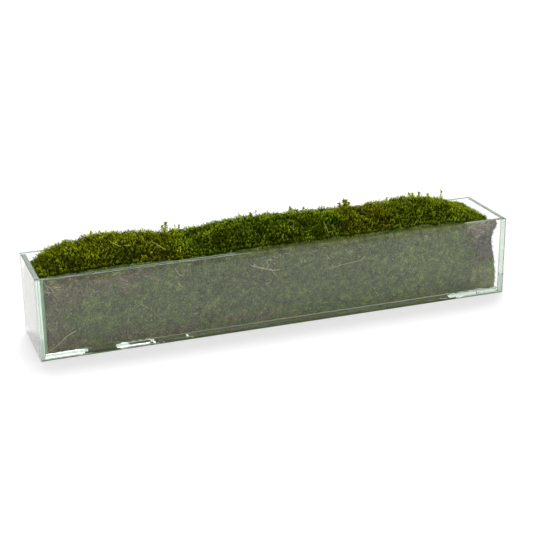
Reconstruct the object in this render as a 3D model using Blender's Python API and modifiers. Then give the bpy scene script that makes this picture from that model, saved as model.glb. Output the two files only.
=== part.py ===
"""Moss in a glass trough: a frameless trough of five glass panes, packed with sheet moss and moss clumps.

Units are metres, +Z is up. The origin is the middle of the trough's underside, +X runs along the trough
and the front pane faces -Y. Run it with: blender --background --python part.py
"""

import math

import bmesh
import bpy

# Driving dimensions of the trough.
TROUGH_LENGTH = 0.6096
TROUGH_DEPTH = 0.1016
TROUGH_HEIGHT = 0.1016
GLASS_THICKNESS = 0.00635
EDGE_POLISH = 0.0006
JOINT_GAP = 0.0003

# Driving dimensions of the moss.
MAT_THICKNESS = 0.012
END_SPACE = 0.0045
SCRAP_REACH = 0.0008
SCRAP_BOTTOM = 0.052
SCRAP_TOP = 0.0995
MOSS_AT_GLASS = 0.099
CROWN_POWER = 2.4
CORNER_FALL = 0.014
CORNER_REACH = 0.034
GRID_STEP = 0.013

# The clumps from left to right: name, left side and right side.
CLUMPS = (
    ("clump_left", -0.2981, -0.122),
    ("clump_centre", -0.122, 0.085),
    ("clump_olive", 0.085, 0.150),
    ("clump_right", 0.150, 0.252),
    ("clump_slope", 0.252, 0.2935),
)
# The crest of the moss from left to right: distance along the trough and height.
CREST = (
    (-0.2981, 0.1075),
    (-0.2870, 0.1160),
    (-0.2760, 0.1210),
    (-0.2470, 0.1255),
    (-0.2180, 0.1302),
    (-0.1890, 0.1310),
    (-0.1600, 0.1275),
    (-0.1220, 0.1215),
    (-0.0920, 0.1222),
    (-0.0610, 0.1275),
    (-0.0300, 0.1295),
    (0.0020, 0.1290),
    (0.0340, 0.1270),
    (0.0750, 0.1255),
    (0.1150, 0.1252),
    (0.1320, 0.1243),
    (0.1650, 0.1275),
    (0.1950, 0.1288),
    (0.2160, 0.1255),
    (0.2340, 0.1225),
    (0.2520, 0.1150),
    (0.2690, 0.1078),
    (0.2881, 0.1008),
    (0.2940, 0.0975),
    (0.2984, 0.0945),
)
FRONT_SEAMS = (-0.105, 0.095, 0.2495)
BACK_SEAMS = (-0.070, 0.130)

# Colour, roughness and transmission of each material.
GLASS_LOOK = ((0.84, 0.93, 0.87), 0.02, 1.0)
SHEET_LOOK = ((0.075, 0.070, 0.028), 0.9, 0.0)
CLUMP_LOOKS = {
    "clump_left": ((0.085, 0.105, 0.012), 0.85, 0.0),
    "clump_centre": ((0.045, 0.075, 0.009), 0.85, 0.0),
    "clump_olive": ((0.065, 0.070, 0.012), 0.85, 0.0),
    "clump_right": ((0.055, 0.085, 0.011), 0.85, 0.0),
    "clump_slope": ((0.050, 0.100, 0.010), 0.85, 0.0),
}

# Sizes that follow from the ones above.
INNER_X = TROUGH_LENGTH / 2 - GLASS_THICKNESS
INNER_Y = TROUGH_DEPTH / 2 - GLASS_THICKNESS
MOSS_FLOOR = GLASS_THICKNESS + JOINT_GAP
MOSS_Y = INNER_Y - JOINT_GAP
MAT_INSIDE_Y = MOSS_Y - MAT_THICKNESS
CLUMP_Y = MAT_INSIDE_Y - JOINT_GAP
MOSS_LEFT = -INNER_X + JOINT_GAP
MOSS_RIGHT = INNER_X - END_SPACE


def clear_scene():
    """Remove every object of the scene that the script starts in."""
    for item in list(bpy.data.objects):
        bpy.data.objects.remove(item, do_unlink=True)


def new_collection(name):
    collection = bpy.data.collections.new(name)
    bpy.context.scene.collection.children.link(collection)
    return collection


def new_material(name, look):
    """A Principled material from a colour, a roughness and a transmission."""
    colour, roughness, transmission = look
    material = bpy.data.materials.new(name)
    material.use_nodes = True
    shader = material.node_tree.nodes["Principled BSDF"]
    shader.inputs["Base Color"].default_value = (*colour, 1.0)
    shader.inputs["Roughness"].default_value = roughness
    shader.inputs["Metallic"].default_value = 0.0
    shader.inputs["Transmission Weight"].default_value = transmission
    material.diffuse_color = (*colour, 1.0)
    return material


def add_object(name, mesh, collection, material):
    item = bpy.data.objects.new(name, mesh)
    mesh.materials.append(material)
    collection.objects.link(item)
    return item


def glass_pane(name, size, centre, collection, material):
    """A flat pane with polished edges, from its three sides and its centre."""
    shape = bmesh.new()
    bmesh.ops.create_cube(shape, size=1.0)
    bmesh.ops.scale(shape, vec=size, verts=shape.verts)
    mesh = bpy.data.meshes.new(name)
    shape.to_mesh(mesh)
    shape.free()
    item = add_object(name, mesh, collection, material)
    item.location = centre
    polish = item.modifiers.new("polished edges", "BEVEL")
    polish.width = EDGE_POLISH
    polish.segments = 2
    return item


def glass_trough(collection):
    """The front and back panes run the whole length; the ends and the base fit between them."""
    material = new_material("clear_float_glass", GLASS_LOOK)
    between_y = TROUGH_DEPTH - 2 * (GLASS_THICKNESS + JOINT_GAP)
    between_x = TROUGH_LENGTH - 2 * (GLASS_THICKNESS + JOINT_GAP)
    side_y = (TROUGH_DEPTH - GLASS_THICKNESS) / 2
    side_x = (TROUGH_LENGTH - GLASS_THICKNESS) / 2
    half_height = TROUGH_HEIGHT / 2
    for name, side in (("front_pane", -1), ("back_pane", 1)):
        size = (TROUGH_LENGTH, GLASS_THICKNESS, TROUGH_HEIGHT)
        glass_pane(name, size, (0, side * side_y, half_height), collection, material)
    for name, side in (("left_end_pane", -1), ("right_end_pane", 1)):
        size = (GLASS_THICKNESS, between_y, TROUGH_HEIGHT)
        glass_pane(name, size, (side * side_x, 0, half_height), collection, material)
    size = (between_x, between_y, GLASS_THICKNESS)
    glass_pane("base_pane", size, (0, 0, GLASS_THICKNESS / 2), collection, material)


def eased(start, end, share):
    """From start to end with no slope at either, share going from 0 to 1."""
    share = min(max(share, 0.0), 1.0)
    return start + (end - start) * (0.5 - 0.5 * math.cos(math.pi * share))


def crest_height(x):
    """Height of the moss along the middle of the trough."""
    for (left, low), (right, high) in zip(CREST, CREST[1:]):
        if x <= right:
            return eased(low, high, (x - left) / (right - left))
    return CREST[-1][1]


def moss_height(x, y):
    """Height of the moss: a crown between the two glasses, which falls away at the back left corner."""
    crest = crest_height(x)
    side = min(MOSS_AT_GLASS, crest - 0.004)
    across = min(abs(y) / INNER_Y, 1.0)
    crown = (1 - across**CROWN_POWER) ** (1 / CROWN_POWER)
    near_corner = max(0.0, 1 - (x - MOSS_LEFT) / CORNER_REACH) * max(0.0, y / INNER_Y)
    return side + (crest - side) * crown - CORNER_FALL * near_corner


def moss_block(name, x_range, y_range, bottom, top, collection, material):
    """A closed block with straight sides, a flat bottom and the top that a height function gives."""
    width = x_range[1] - x_range[0]
    depth = y_range[1] - y_range[0]
    shape = bmesh.new()
    bmesh.ops.create_grid(
        shape,
        x_segments=max(2, round(width / GRID_STEP)),
        y_segments=max(2, round(depth / GRID_STEP)),
        size=0.5,
    )
    for point in shape.verts:
        point.co.x = x_range[0] + width * (point.co.x + 0.5)
        point.co.y = y_range[0] + depth * (point.co.y + 0.5)
        point.co.z = top(point.co.x, point.co.y)
    lowered = bmesh.ops.extrude_face_region(shape, geom=shape.faces[:])["geom"]
    bottom_faces = [part for part in lowered if isinstance(part, bmesh.types.BMFace)]
    for part in lowered:
        if isinstance(part, bmesh.types.BMVert):
            part.co.z = bottom
    bmesh.ops.dissolve_faces(shape, faces=bottom_faces)
    bmesh.ops.recalc_face_normals(shape, faces=shape.faces)
    mesh = bpy.data.meshes.new(name)
    shape.to_mesh(mesh)
    shape.free()
    mesh.shade_smooth()
    mesh.set_sharp_from_angle(angle=math.radians(40))
    return add_object(name, mesh, collection, material)


def sheet_mats(collection):
    """Sheets of moss that stand against the front and the back glass, each between two seams."""
    material = new_material("sheet_moss", SHEET_LOOK)
    front = (-MOSS_Y, -MAT_INSIDE_Y)
    back = (MAT_INSIDE_Y, MOSS_Y)
    front_names = ("front_mat_left", "front_mat_middle", "front_mat_right")
    back_names = ("back_mat_left", "back_mat_middle", "back_mat_right")
    rows = (
        (front_names, front, (MOSS_LEFT, *FRONT_SEAMS)),
        (back_names, back, (MOSS_LEFT, *BACK_SEAMS, MOSS_RIGHT)),
    )
    for names, y_range, seams in rows:
        for name, left, right in zip(names, seams, seams[1:]):
            x_range = (left, right - JOINT_GAP)
            moss_block(name, x_range, y_range, MOSS_FLOOR, moss_height, collection, material)
    corner = FRONT_SEAMS[-1]
    under_scrap = SCRAP_BOTTOM - JOINT_GAP
    lower = (corner, MOSS_RIGHT)
    upper = (corner, MOSS_RIGHT + SCRAP_REACH)
    corner_top, scrap_top = (lambda x, y: under_scrap), (lambda x, y: SCRAP_TOP)
    moss_block("front_mat_corner", lower, front, MOSS_FLOOR, corner_top, collection, material)
    moss_block("folded_scrap", upper, front, SCRAP_BOTTOM, scrap_top, collection, material)


def deep_clumps(collection):
    """The clumps stand side by side between the front and the back mats, on the base pane."""
    for name, left, right in CLUMPS:
        material = new_material("moss_" + name, CLUMP_LOOKS[name])
        x_range = (left, right - JOINT_GAP)
        moss_block(name, x_range, (-CLUMP_Y, CLUMP_Y), MOSS_FLOOR, moss_height, collection, material)


def main():
    clear_scene()
    collection = new_collection("moss in a glass trough")
    glass_trough(collection)
    sheet_mats(collection)
    deep_clumps(collection)


main()
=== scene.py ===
"""Moss in a glass trough: the looks of a long clear trough packed with sheet moss and mounded moss clumps.

It is laid out as an add-on: settings, one operator for each group of pieces and one for the stage, and a
panel. Lengths are metres, +X runs along the trough, the front pane faces -Y and +Z is up.
"""

import math

import bpy
import numpy as np
from mathutils import Matrix, Vector
from mathutils.bvhtree import BVHTree


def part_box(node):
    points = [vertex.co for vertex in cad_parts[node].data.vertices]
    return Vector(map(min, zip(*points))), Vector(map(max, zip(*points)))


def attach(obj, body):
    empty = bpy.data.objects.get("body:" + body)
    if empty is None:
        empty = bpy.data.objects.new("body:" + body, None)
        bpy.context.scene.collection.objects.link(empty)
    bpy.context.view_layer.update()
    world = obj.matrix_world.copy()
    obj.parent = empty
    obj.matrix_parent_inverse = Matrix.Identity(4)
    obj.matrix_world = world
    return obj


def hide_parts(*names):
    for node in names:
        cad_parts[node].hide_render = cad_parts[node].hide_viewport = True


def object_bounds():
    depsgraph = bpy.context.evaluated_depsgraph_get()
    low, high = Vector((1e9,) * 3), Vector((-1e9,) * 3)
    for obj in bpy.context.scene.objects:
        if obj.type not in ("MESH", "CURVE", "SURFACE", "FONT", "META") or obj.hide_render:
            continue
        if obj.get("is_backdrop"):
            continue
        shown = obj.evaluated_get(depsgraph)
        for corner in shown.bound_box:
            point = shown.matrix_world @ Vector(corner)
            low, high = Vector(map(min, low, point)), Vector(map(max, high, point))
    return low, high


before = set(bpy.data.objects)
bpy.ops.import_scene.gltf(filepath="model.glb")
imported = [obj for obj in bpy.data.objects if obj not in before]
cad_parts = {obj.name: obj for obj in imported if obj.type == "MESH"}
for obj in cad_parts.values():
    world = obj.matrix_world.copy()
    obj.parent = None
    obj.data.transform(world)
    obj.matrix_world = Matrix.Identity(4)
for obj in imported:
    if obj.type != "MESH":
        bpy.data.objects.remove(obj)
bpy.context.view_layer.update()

bl_info = {
    "name": "Moss in a glass trough",
    "version": (1, 0, 0),
    "blender": (4, 5, 0),
    "location": "3D View > Sidebar > Moss trough",
    "description": "Glazes the trough and grows the moss shoots, mats, sprigs and twigs in it",
    "category": "Object",
}

PANES = ("front_pane", "back_pane", "left_end_pane", "right_end_pane", "base_pane")
CLUMPS = ("clump_left", "clump_centre", "clump_olive", "clump_right", "clump_slope")
LOW_PIECES = ("front_mat_corner", "folded_scrap")
FRONT_MATS = ("front_mat_left", "front_mat_middle", "front_mat_right", *LOW_PIECES)
BACK_MATS = ("back_mat_left", "back_mat_middle", "back_mat_right")
MOSS_NODES = CLUMPS + FRONT_MATS + BACK_MATS

# The inside of the trough, from the panes.
INSIDE_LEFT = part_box("left_end_pane")[1].x
INSIDE_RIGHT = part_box("right_end_pane")[0].x
INSIDE_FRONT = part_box("front_pane")[1].y
INSIDE_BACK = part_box("back_pane")[0].y
INSIDE_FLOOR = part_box("base_pane")[1].z
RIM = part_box("front_pane")[1].z
NODE_BOXES = {name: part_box(name) for name in MOSS_NODES}


# ---------------------------------------------------------------- settings


class GlassSettings(bpy.types.PropertyGroup):
    """The clear float glass of the trough."""

    ior: bpy.props.FloatProperty(name="IOR", description="Of clear glass", default=1.46, min=1.0, max=2.0)
    tint: bpy.props.FloatVectorProperty(
        name="Tint",
        description="Colour that a long way through the glass leaves",
        subtype="COLOR",
        size=3,
        default=(0.05, 0.32, 0.07),
        min=0.0,
        max=1.0,
    )
    density: bpy.props.FloatProperty(
        name="Tint density", description="Per metre of glass", default=5.2, min=0.0
    )


class MossSettings(bpy.types.PropertyGroup):
    """The leafy shoots of the clumps."""

    spacing: bpy.props.FloatProperty(
        name="Shoot spacing", description="Between neighbouring shoots", default=0.0018, unit="LENGTH"
    )
    crown: bpy.props.FloatProperty(
        name="Crown radius", description="Reach of a shoot's leaves", default=0.0017, unit="LENGTH"
    )
    lump: bpy.props.FloatProperty(
        name="Lump height", description="How far the moss swells and dips", default=0.0050, unit="LENGTH"
    )
    seed: bpy.props.IntProperty(name="Seed", description="Of every random draw", default=7)


class MatSettings(bpy.types.PropertyGroup):
    """The sheets of moss that are pressed against the glass."""

    cell: bpy.props.FloatProperty(
        name="Felt cell", description="Grid of the felted face", default=0.0022, unit="LENGTH"
    )
    crease: bpy.props.FloatProperty(
        name="Crease depth", description="How far the felt leaves the glass", default=0.0020, unit="LENGTH"
    )
    leaf: bpy.props.FloatProperty(
        name="Leaf length", description="Of a leaf pressed flat on the glass", default=0.0027, unit="LENGTH"
    )


class StageSettings(bpy.types.PropertyGroup):
    """Camera, floor and light."""

    azimuth: bpy.props.FloatProperty(
        name="Azimuth", description="From the front", subtype="ANGLE", default=math.radians(-19.62)
    )
    elevation: bpy.props.FloatProperty(
        name="Elevation", description="Of the camera", subtype="ANGLE", default=math.radians(20.59)
    )
    roll: bpy.props.FloatProperty(
        name="Roll", description="Of the camera", subtype="ANGLE", default=math.radians(-0.608)
    )
    distance: bpy.props.FloatProperty(
        name="Distance", description="From the camera to the trough", default=1.641, unit="LENGTH"
    )
    lens: bpy.props.FloatProperty(
        name="Lens", description="Focal length in mm on a 36 mm sensor", default=87.75
    )
    sky: bpy.props.FloatProperty(name="Room light", description="Of the white room", default=0.85, min=0.0)
    lamp: bpy.props.FloatProperty(
        name="Soft light", description="Of the broad light above and behind", default=4.3, min=0.0
    )
    table: bpy.props.FloatProperty(
        name="Table light", description="Of the light table under the trough", default=0.56, min=0.0
    )


SETTING_GROUPS = {
    "trough_glass": GlassSettings,
    "trough_moss": MossSettings,
    "trough_mats": MatSettings,
    "trough_stage": StageSettings,
}


# ---------------------------------------------------------------- materials


def srgb(code, alpha=1.0):
    """A hex colour as linear numbers."""
    levels = [int(code[i : i + 2], 16) / 255 for i in (0, 2, 4)]
    linear = [v / 12.92 if v <= 0.04045 else ((v + 0.055) / 1.055) ** 2.4 for v in levels]
    return (*linear, alpha)


def join(tree, node, inputs):
    """Sets a node's inputs: each is a value, or a node or a socket to link from."""
    for name, value in inputs.items():
        if isinstance(value, bpy.types.Node):
            value = value.outputs[0]
        if isinstance(value, bpy.types.NodeSocket):
            tree.links.new(value, node.inputs[name])
        else:
            node.inputs[name].default_value = value


def add(tree, kind, inputs=None, stops=(), **settings):
    """Adds a node with its settings and inputs; a ramp also takes stops, as (place, hex colour) pairs."""
    node = tree.nodes.new(kind)
    for name, value in settings.items():
        setattr(node, name, value)
    join(tree, node, inputs or {})
    if stops:
        elements = node.color_ramp.elements
        while len(elements) < len(stops):
            elements.new(0.5)
        for element, (place, code) in zip(elements, stops):
            element.position = place
            element.color = srgb(code)
    return node


def new_material(name):
    """A material with its tree, Principled shader and output node."""
    material = bpy.data.materials.new(name)
    material.use_nodes = True
    tree = material.node_tree
    return material, tree, tree.nodes["Principled BSDF"], tree.nodes["Material Output"]


def surface_values(tree, *keys):
    """The values that a moss mesh stores at each point under the keys, and the point's place."""
    stored = [add(tree, "ShaderNodeAttribute", attribute_name=key).outputs["Fac"] for key in keys]
    return *stored, add(tree, "ShaderNodeTexCoord").outputs["Object"]


def toned(tree, colour, *tones):
    """The colour, lighter or darker by each tone: a source, its two ends and the light at each end."""
    light = None
    for source, start, end, low, high in tones:
        ends = {"From Min": start, "From Max": end, "To Min": low, "To Max": high}
        lift = add(tree, "ShaderNodeMapRange", {"Value": source, **ends})
        if light is not None:
            lift = add(tree, "ShaderNodeMath", {0: light, 1: lift}, operation="MULTIPLY")
        light = lift
    return add(tree, "ShaderNodeHueSaturation", {"Color": colour, "Value": light})


# The colour sockets of a Mix node, by number: what goes in and what comes out.
FIRST, SECOND, MIXED = 6, 7, 2


def float_glass(settings):
    """Clear float glass, cut, ground and polished: sharp mirror gloss, and pale green where light runs
    along it."""
    material, tree, shader, output = new_material("clear_float_glass")
    clear = {"Base Color": (1, 1, 1, 1), "Transmission Weight": 1.0, "Roughness": 0.0, "IOR": settings.ior}
    join(tree, shader, clear)
    tint = {"Color": (*settings.tint, 1), "Density": settings.density}
    join(tree, output, {"Volume": add(tree, "ShaderNodeVolumeAbsorption", tint)})
    return material


# Colours of a shoot from its foot, darker with age and with painted shade, to its youngest tip, for each sort
# of moss.
LEAF_COLOURS = {
    "clump_left": ("161b08", "74840e", "c0cc1e", "f4f488"),
    "clump_centre": ("121b07", "5e780e", "a8bc1c", "eaf086"),
    "clump_olive": ("171b09", "6c760e", "b0b61c", "e6e484"),
    "clump_right": ("131b07", "6a8010", "b6c622", "ecf286"),
    "clump_slope": ("151d08", "66800e", "a8ba1c", "dce062"),
}


def moss_leaf(name, colours):
    """Living moss leaves, one cell thick and unpolished: soft, nearly matt, darker at the foot from age and
    from painted shade, yellow at the tip, and glowing where the light is behind them."""
    material, tree, shader, output = new_material(name)
    tip, tint, place = surface_values(tree, "tip", "tint")
    leaf = add(tree, "ShaderNodeValToRGB", {"Fac": tip}, tuple(zip((0.0, 0.36, 0.70, 1.0), colours)))
    # Patches about 18 mm across where the moss is a little drier, and freckles about 1.5 mm across.
    patches = add(tree, "ShaderNodeTexNoise", {"Vector": place, "Scale": 1 / 0.018, "Detail": 2.0})
    freckles = add(tree, "ShaderNodeTexNoise", {"Vector": place, "Scale": 1 / 0.0015, "Detail": 1.0})
    dry = add(tree, "ShaderNodeValToRGB", {"Fac": patches}, ((0.44, "ffffff"), (0.70, "f2eaa0")))
    layers = {0: 1.0, FIRST: leaf, SECOND: dry}
    dried = add(tree, "ShaderNodeMix", layers, data_type="RGBA", blend_type="MULTIPLY").outputs[MIXED]
    colour = toned(tree, dried, (tint, -1, 1, 0.40, 1.70), (freckles, 0, 1, 0.70, 1.30))
    rough = add(tree, "ShaderNodeMapRange", {"Value": freckles, "To Min": 0.55, "To Max": 0.8})
    bump = add(tree, "ShaderNodeBump", {"Height": freckles, "Strength": 0.3, "Distance": 0.0003})
    look = {"Base Color": colour, "Roughness": rough, "Specular IOR Level": 0.02, "Normal": bump}
    join(tree, shader, look)
    glow = add(tree, "ShaderNodeBsdfTranslucent", {"Color": colour})
    join(tree, output, {"Surface": add(tree, "ShaderNodeMixShader", {0: 0.36, 1: shader, 2: glow})})
    return material


# Colours of the felt from its deepest leaves to its palest: the living side, the brown underside, and the
# underside where it has dried.
FELT_COLOURS = (
    ("252e13", "5f7132", "8b9c4e", "dce0a8"),
    ("302d21", "706c44", "9a956c", "e4debc"),
    ("2f2c29", "6f695f", "9f988a", "e6e0d2"),
)


def pressed_felt(name):
    """Damp sheet moss pressed on glass: dark green felt of flattened leaves, brown where its underside shows
    and grey where that has dried."""
    material, tree, shader, output = new_material(name)
    tip, tint, brown, place = surface_values(tree, "tip", "tint", "brown")
    living, underside, dry = (
        add(tree, "ShaderNodeValToRGB", {"Fac": tip}, tuple(zip((0.0, 0.35, 0.62, 1.0), colours)))
        for colours in FELT_COLOURS
    )
    dried = add(tree, "ShaderNodeMapRange", {"Value": brown, "From Min": 1.0, "From Max": 2.0})
    colour = living
    for share, side in ((brown, underside), (dried, dry)):
        layers = {0: share, FIRST: colour, SECOND: side}
        colour = add(tree, "ShaderNodeMix", layers, data_type="RGBA").outputs[MIXED]
    blotches = add(tree, "ShaderNodeTexNoise", {"Vector": place, "Scale": 1 / 0.014, "Detail": 3.0})
    # Leaf cells are far finer than this; 1.6 mm is the finest that shows from a metre and a half.
    grain = add(tree, "ShaderNodeTexNoise", {"Vector": place, "Scale": 1 / 0.0016, "Detail": 2.0})
    tones = ((tint, -1, 1, 0.45, 1.55), (grain, 0.30, 0.70, 0.30, 1.70), (blotches, 0, 1, 0.68, 1.32))
    rough = add(tree, "ShaderNodeMapRange", {"Value": grain, "To Min": 0.6, "To Max": 0.9})
    bump = add(tree, "ShaderNodeBump", {"Height": grain, "Strength": 0.6, "Distance": 0.0006})
    look = {"Roughness": rough, "Specular IOR Level": 0.05, "Normal": bump}
    join(tree, shader, {"Base Color": toned(tree, colour, *tones), **look})
    return material


def dry_fibre(name, dark, light, roughness):
    """Dead stem, root or straw, dried and unpolished: matt, streaked along its length by shrinking."""
    material, tree, shader, output = new_material(name)
    tip, tint, place = surface_values(tree, "tip", "tint")
    # Streaks about 0.8 mm wide, coarser than real bark so that they show.
    streaks = add(tree, "ShaderNodeTexNoise", {"Vector": place, "Scale": 1 / 0.0008, "Detail": 2.0})
    length = add(tree, "ShaderNodeValToRGB", {"Fac": tip}, ((0.0, dark), (1.0, light)))
    colour = toned(tree, length, (tint, -1, 1, 0.6, 1.4), (streaks, 0, 1, 0.7, 1.3))
    bump = add(tree, "ShaderNodeBump", {"Height": streaks, "Strength": 0.5, "Distance": 0.0002})
    look = {"Base Color": colour, "Roughness": roughness, "Specular IOR Level": 0.15, "Normal": bump}
    join(tree, shader, look)
    return material


def clear_adhesive(name, dark, light):
    """Clear glue squeezed out of a joint and set: glossy, a little cloudy, with the green and brightness that
    light through the glass round it would give painted into its colour.
    """
    material, tree, shader, output = new_material(name)
    (place,) = surface_values(tree)
    # Streaks about 4 mm long where it set unevenly.
    streaks = add(tree, "ShaderNodeTexNoise", {"Vector": place, "Scale": 1 / 0.004, "Detail": 2.0})
    colour = add(tree, "ShaderNodeValToRGB", {"Fac": streaks}, ((0.3, dark), (0.7, light)))
    bump = add(tree, "ShaderNodeBump", {"Height": streaks, "Strength": 0.4, "Distance": 0.0004})
    clear = {"Roughness": 0.25, "IOR": 1.41, "Transmission Weight": 0.25}
    join(tree, shader, {"Base Color": colour, **clear, "Normal": bump})
    return material


def light_table_glass(glow):
    """White opal sheet lit from below: dead matt, and bright even where the trough shades it."""
    material, tree, shader, output = new_material("white_light_table")
    matt = {"Base Color": (0.36, 0.36, 0.36, 1), "Roughness": 0.9, "Specular IOR Level": 0.0}
    join(tree, shader, {**matt, "Emission Color": (1, 1, 1, 1), "Emission Strength": glow})
    return material


# ---------------------------------------------------------------- shapes


def noise(points, cell, seed):
    """Smooth noise from -1 to 1 at each point, with swells about two cells across."""
    places = np.asarray(points, float) / cell + 1000.0
    low = np.floor(places).astype(np.int64)
    share = places - low
    share = share * share * (3 - 2 * share)
    total = np.zeros(len(places))
    for corner in range(8):
        step = np.array([corner & 1, corner >> 1 & 1, corner >> 2 & 1])
        at = low + step
        mixed = at[:, 0] * 73856093 ^ at[:, 1] * 19349663 ^ at[:, 2] * 83492791 ^ seed * 2654435761
        mixed = (mixed ^ mixed >> 13) * 1274126177 & 0x7FFFFFFF
        level = (mixed ^ mixed >> 16) % 65536 / 32767.5 - 1
        weight = np.prod(np.where(step, share, 1 - share), axis=1)
        total += weight * level
    return total


def unit(vectors):
    return vectors / np.maximum(np.linalg.norm(vectors, axis=-1, keepdims=True), 1e-12)


def smooth_step(low, high, value):
    share = np.clip((value - low) / (high - low), 0, 1)
    return share * share * (3 - 2 * share)


class MossTop:
    """The height that the tips of the moss reach, read from the moss solids of the frame."""

    STEP = 0.003

    def __init__(self):
        trees = []
        for name in MOSS_NODES:
            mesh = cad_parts[name].data
            corners = [v.co.copy() for v in mesh.vertices]
            trees.append(BVHTree.FromPolygons(corners, [p.vertices[:] for p in mesh.polygons]))
        left = min(NODE_BOXES[n][0].x for n in MOSS_NODES)
        right = max(NODE_BOXES[n][1].x for n in MOSS_NODES)
        self.front = min(NODE_BOXES[n][0].y for n in MOSS_NODES)
        self.back = max(NODE_BOXES[n][1].y for n in MOSS_NODES)
        inset = 0.0004
        count_x = round((right - left) / self.STEP) + 1
        count_y = round((self.back - self.front) / self.STEP) + 1
        self.xs = np.linspace(left + inset, right - inset, count_x)
        self.ys = np.linspace(self.front + inset, self.back - inset, count_y)
        self.heights = np.zeros((count_x, count_y))
        shifts = ((0.0, 0.0), (0.0006, 0.0), (-0.0006, 0.0), (0.0, 0.0006), (0.0, -0.0006))
        for i, x in enumerate(self.xs):
            for j, y in enumerate(self.ys):
                self.heights[i, j] = max(self.drop(trees, x + dx, y + dy) for dx, dy in shifts)
        for i in range(1, count_x):  # past the end of the shorter pieces the surface carries on level
            low = self.heights[i] < RIM * 0.7
            self.heights[i, low] = self.heights[i - 1, low]

    @staticmethod
    def drop(trees, x, y):
        best = 0.0
        for tree in trees:
            hit = tree.ray_cast(Vector((x, y, 1.0)), Vector((0, 0, -1)))[0]
            if hit is not None:
                best = max(best, hit.z)
        return best

    def at(self, x, y):
        """Height at each x and y, between the read ones."""
        u = np.clip((x - self.xs[0]) / (self.xs[1] - self.xs[0]), 0, len(self.xs) - 1.001)
        v = np.clip((y - self.ys[0]) / (self.ys[1] - self.ys[0]), 0, len(self.ys) - 1.001)
        i, j = u.astype(int), v.astype(int)
        fu, fv = u - i, v - j
        near = self.heights[i, j] * (1 - fv) + self.heights[i, j + 1] * fv
        far = self.heights[i + 1, j] * (1 - fv) + self.heights[i + 1, j + 1] * fv
        return near * (1 - fu) + far * fu


# Usual height of a shoot of each sort.
SHOOT_HEIGHT = {
    "clump_left": 0.0044,
    "clump_centre": 0.0040,
    "clump_olive": 0.0036,
    "clump_right": 0.0040,
    "clump_slope": 0.0026,
}
# The height at the glass is read this far outside its place, because the moss rounds off towards the glass.
MAT_TOP_INSET = 0.0045
# How far out from the middle the glass begins to press the moss level, and how far the roots lie below the
# tips besides the height of a shoot.
GLASS_REACH = 0.034
ROOT_DEPTH = 0.0031
# How much of each sort grows as low feathers; the others have LEAST_FEATHERS.
FEATHERS = {"clump_left": 0.50, "clump_centre": 0.40}
LEAST_FEATHERS = 0.30
# The two forms of shoot: leaves on each, and the share of the usual height and crown.
TUFT_LEAVES = 14
FEATHER_LEAVES, FEATHER_HEIGHT, FEATHER_CROWN = 16, 1.2, 0.85
# The short moss of the slope: leaves on a shoot, and the share of the usual crown and spacing.
SLOPE_LEAVES, SLOPE_CROWN, SLOPE_SPACING = 10, 0.7, 0.72
# The share of shoots that stand out tall, and how many places are tried in each square of the shoot spacing.
TALL_SHARE = 0.07
TRIES = 4.5
# The turn from one leaf to the next round a stem, in radians.
GOLDEN_TURN = 2.39996


def sort_at(x, y, jitter=0.0):
    """The sort of moss that grows at each place, as a number into CLUMPS; the borders are ragged."""
    wave = noise(np.stack([x, y, 0 * x], 1), 0.009, 71) * 0.007 + jitter
    borders = [NODE_BOXES[name][1].x for name in CLUMPS[:-1]]
    return np.searchsorted(borders, x + wave)


def swell_at(x, y, seed):
    """Where the moss surface swells and dips, from about -1.5 to 1.5."""
    places = np.stack([x, y, 0 * x], 1)
    return noise(places, 0.011, seed) + 0.80 * noise(places, 0.0048, seed + 1)


def root_height(top, x, y, lump, seed):
    """Height of the surface that the shoots stand on: below the tips, with lumps that fade at the glass."""
    pulled = np.clip(y * (1 + MAT_TOP_INSET / INSIDE_BACK), top.front, top.back)
    sink = np.interp(x, SORT_X, SORT_SINK)
    at_glass = smooth_step(GLASS_REACH, INSIDE_BACK, np.abs(y))
    lumps = 0.62 * lump * swell_at(x, y, seed) * (1 - 0.6 * at_glass)
    return top.at(x, pulled) - sink * (1 - 0.5 * at_glass) + lumps - ROOT_DEPTH * (1 - at_glass)


SORT_X = [(NODE_BOXES[name][0].x + NODE_BOXES[name][1].x) / 2 for name in CLUMPS]
SORT_SINK = [SHOOT_HEIGHT[name] for name in CLUMPS]


def new_piece(name, vertices, faces, values, materials, slots):
    """A mesh object from arrays, with its per-vertex values as attributes and a material slot per face."""
    mesh = bpy.data.meshes.new(name)
    mesh.vertices.add(len(vertices))
    mesh.vertices.foreach_set("co", np.asarray(vertices, np.float32).ravel())
    mesh.loops.add(faces.size)
    mesh.polygons.add(len(faces))
    mesh.loops.foreach_set("vertex_index", faces.astype(np.int32).ravel())
    mesh.polygons.foreach_set("loop_start", np.arange(0, faces.size, 3, dtype=np.int32))
    mesh.polygons.foreach_set("material_index", slots.astype(np.int32))
    for key, data in values.items():
        layer = mesh.attributes.new(key, "FLOAT", "POINT")
        layer.data.foreach_set("value", np.asarray(data, np.float32))
    mesh.update()
    mesh.validate()
    piece = bpy.data.objects.new(name, mesh)
    bpy.context.scene.collection.objects.link(piece)
    for material in materials:
        mesh.materials.append(material)
    return piece


class Heap:
    """Joined meshes with the same attributes, gathered one by one."""

    def __init__(self):
        self.parts = []
        self.count = 0

    def put(self, vertices, faces, tip, tint, brown, material):
        vertices = np.asarray(vertices, float).reshape(-1, 3)
        size = len(vertices)
        fill = [np.broadcast_to(np.asarray(v, float), (size,)) for v in (tip, tint, brown)]
        slots = np.broadcast_to(np.asarray(material), (len(faces),))
        self.parts.append((vertices, np.asarray(faces) + self.count, *fill, slots))
        self.count += size

    def make(self, name, materials):
        vertices, faces, tip, tint, brown, slots = (np.concatenate(x) for x in zip(*self.parts))
        values = {"tip": tip, "tint": tint, "brown": brown}
        return new_piece(name, vertices, faces, values, materials, slots)


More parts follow.
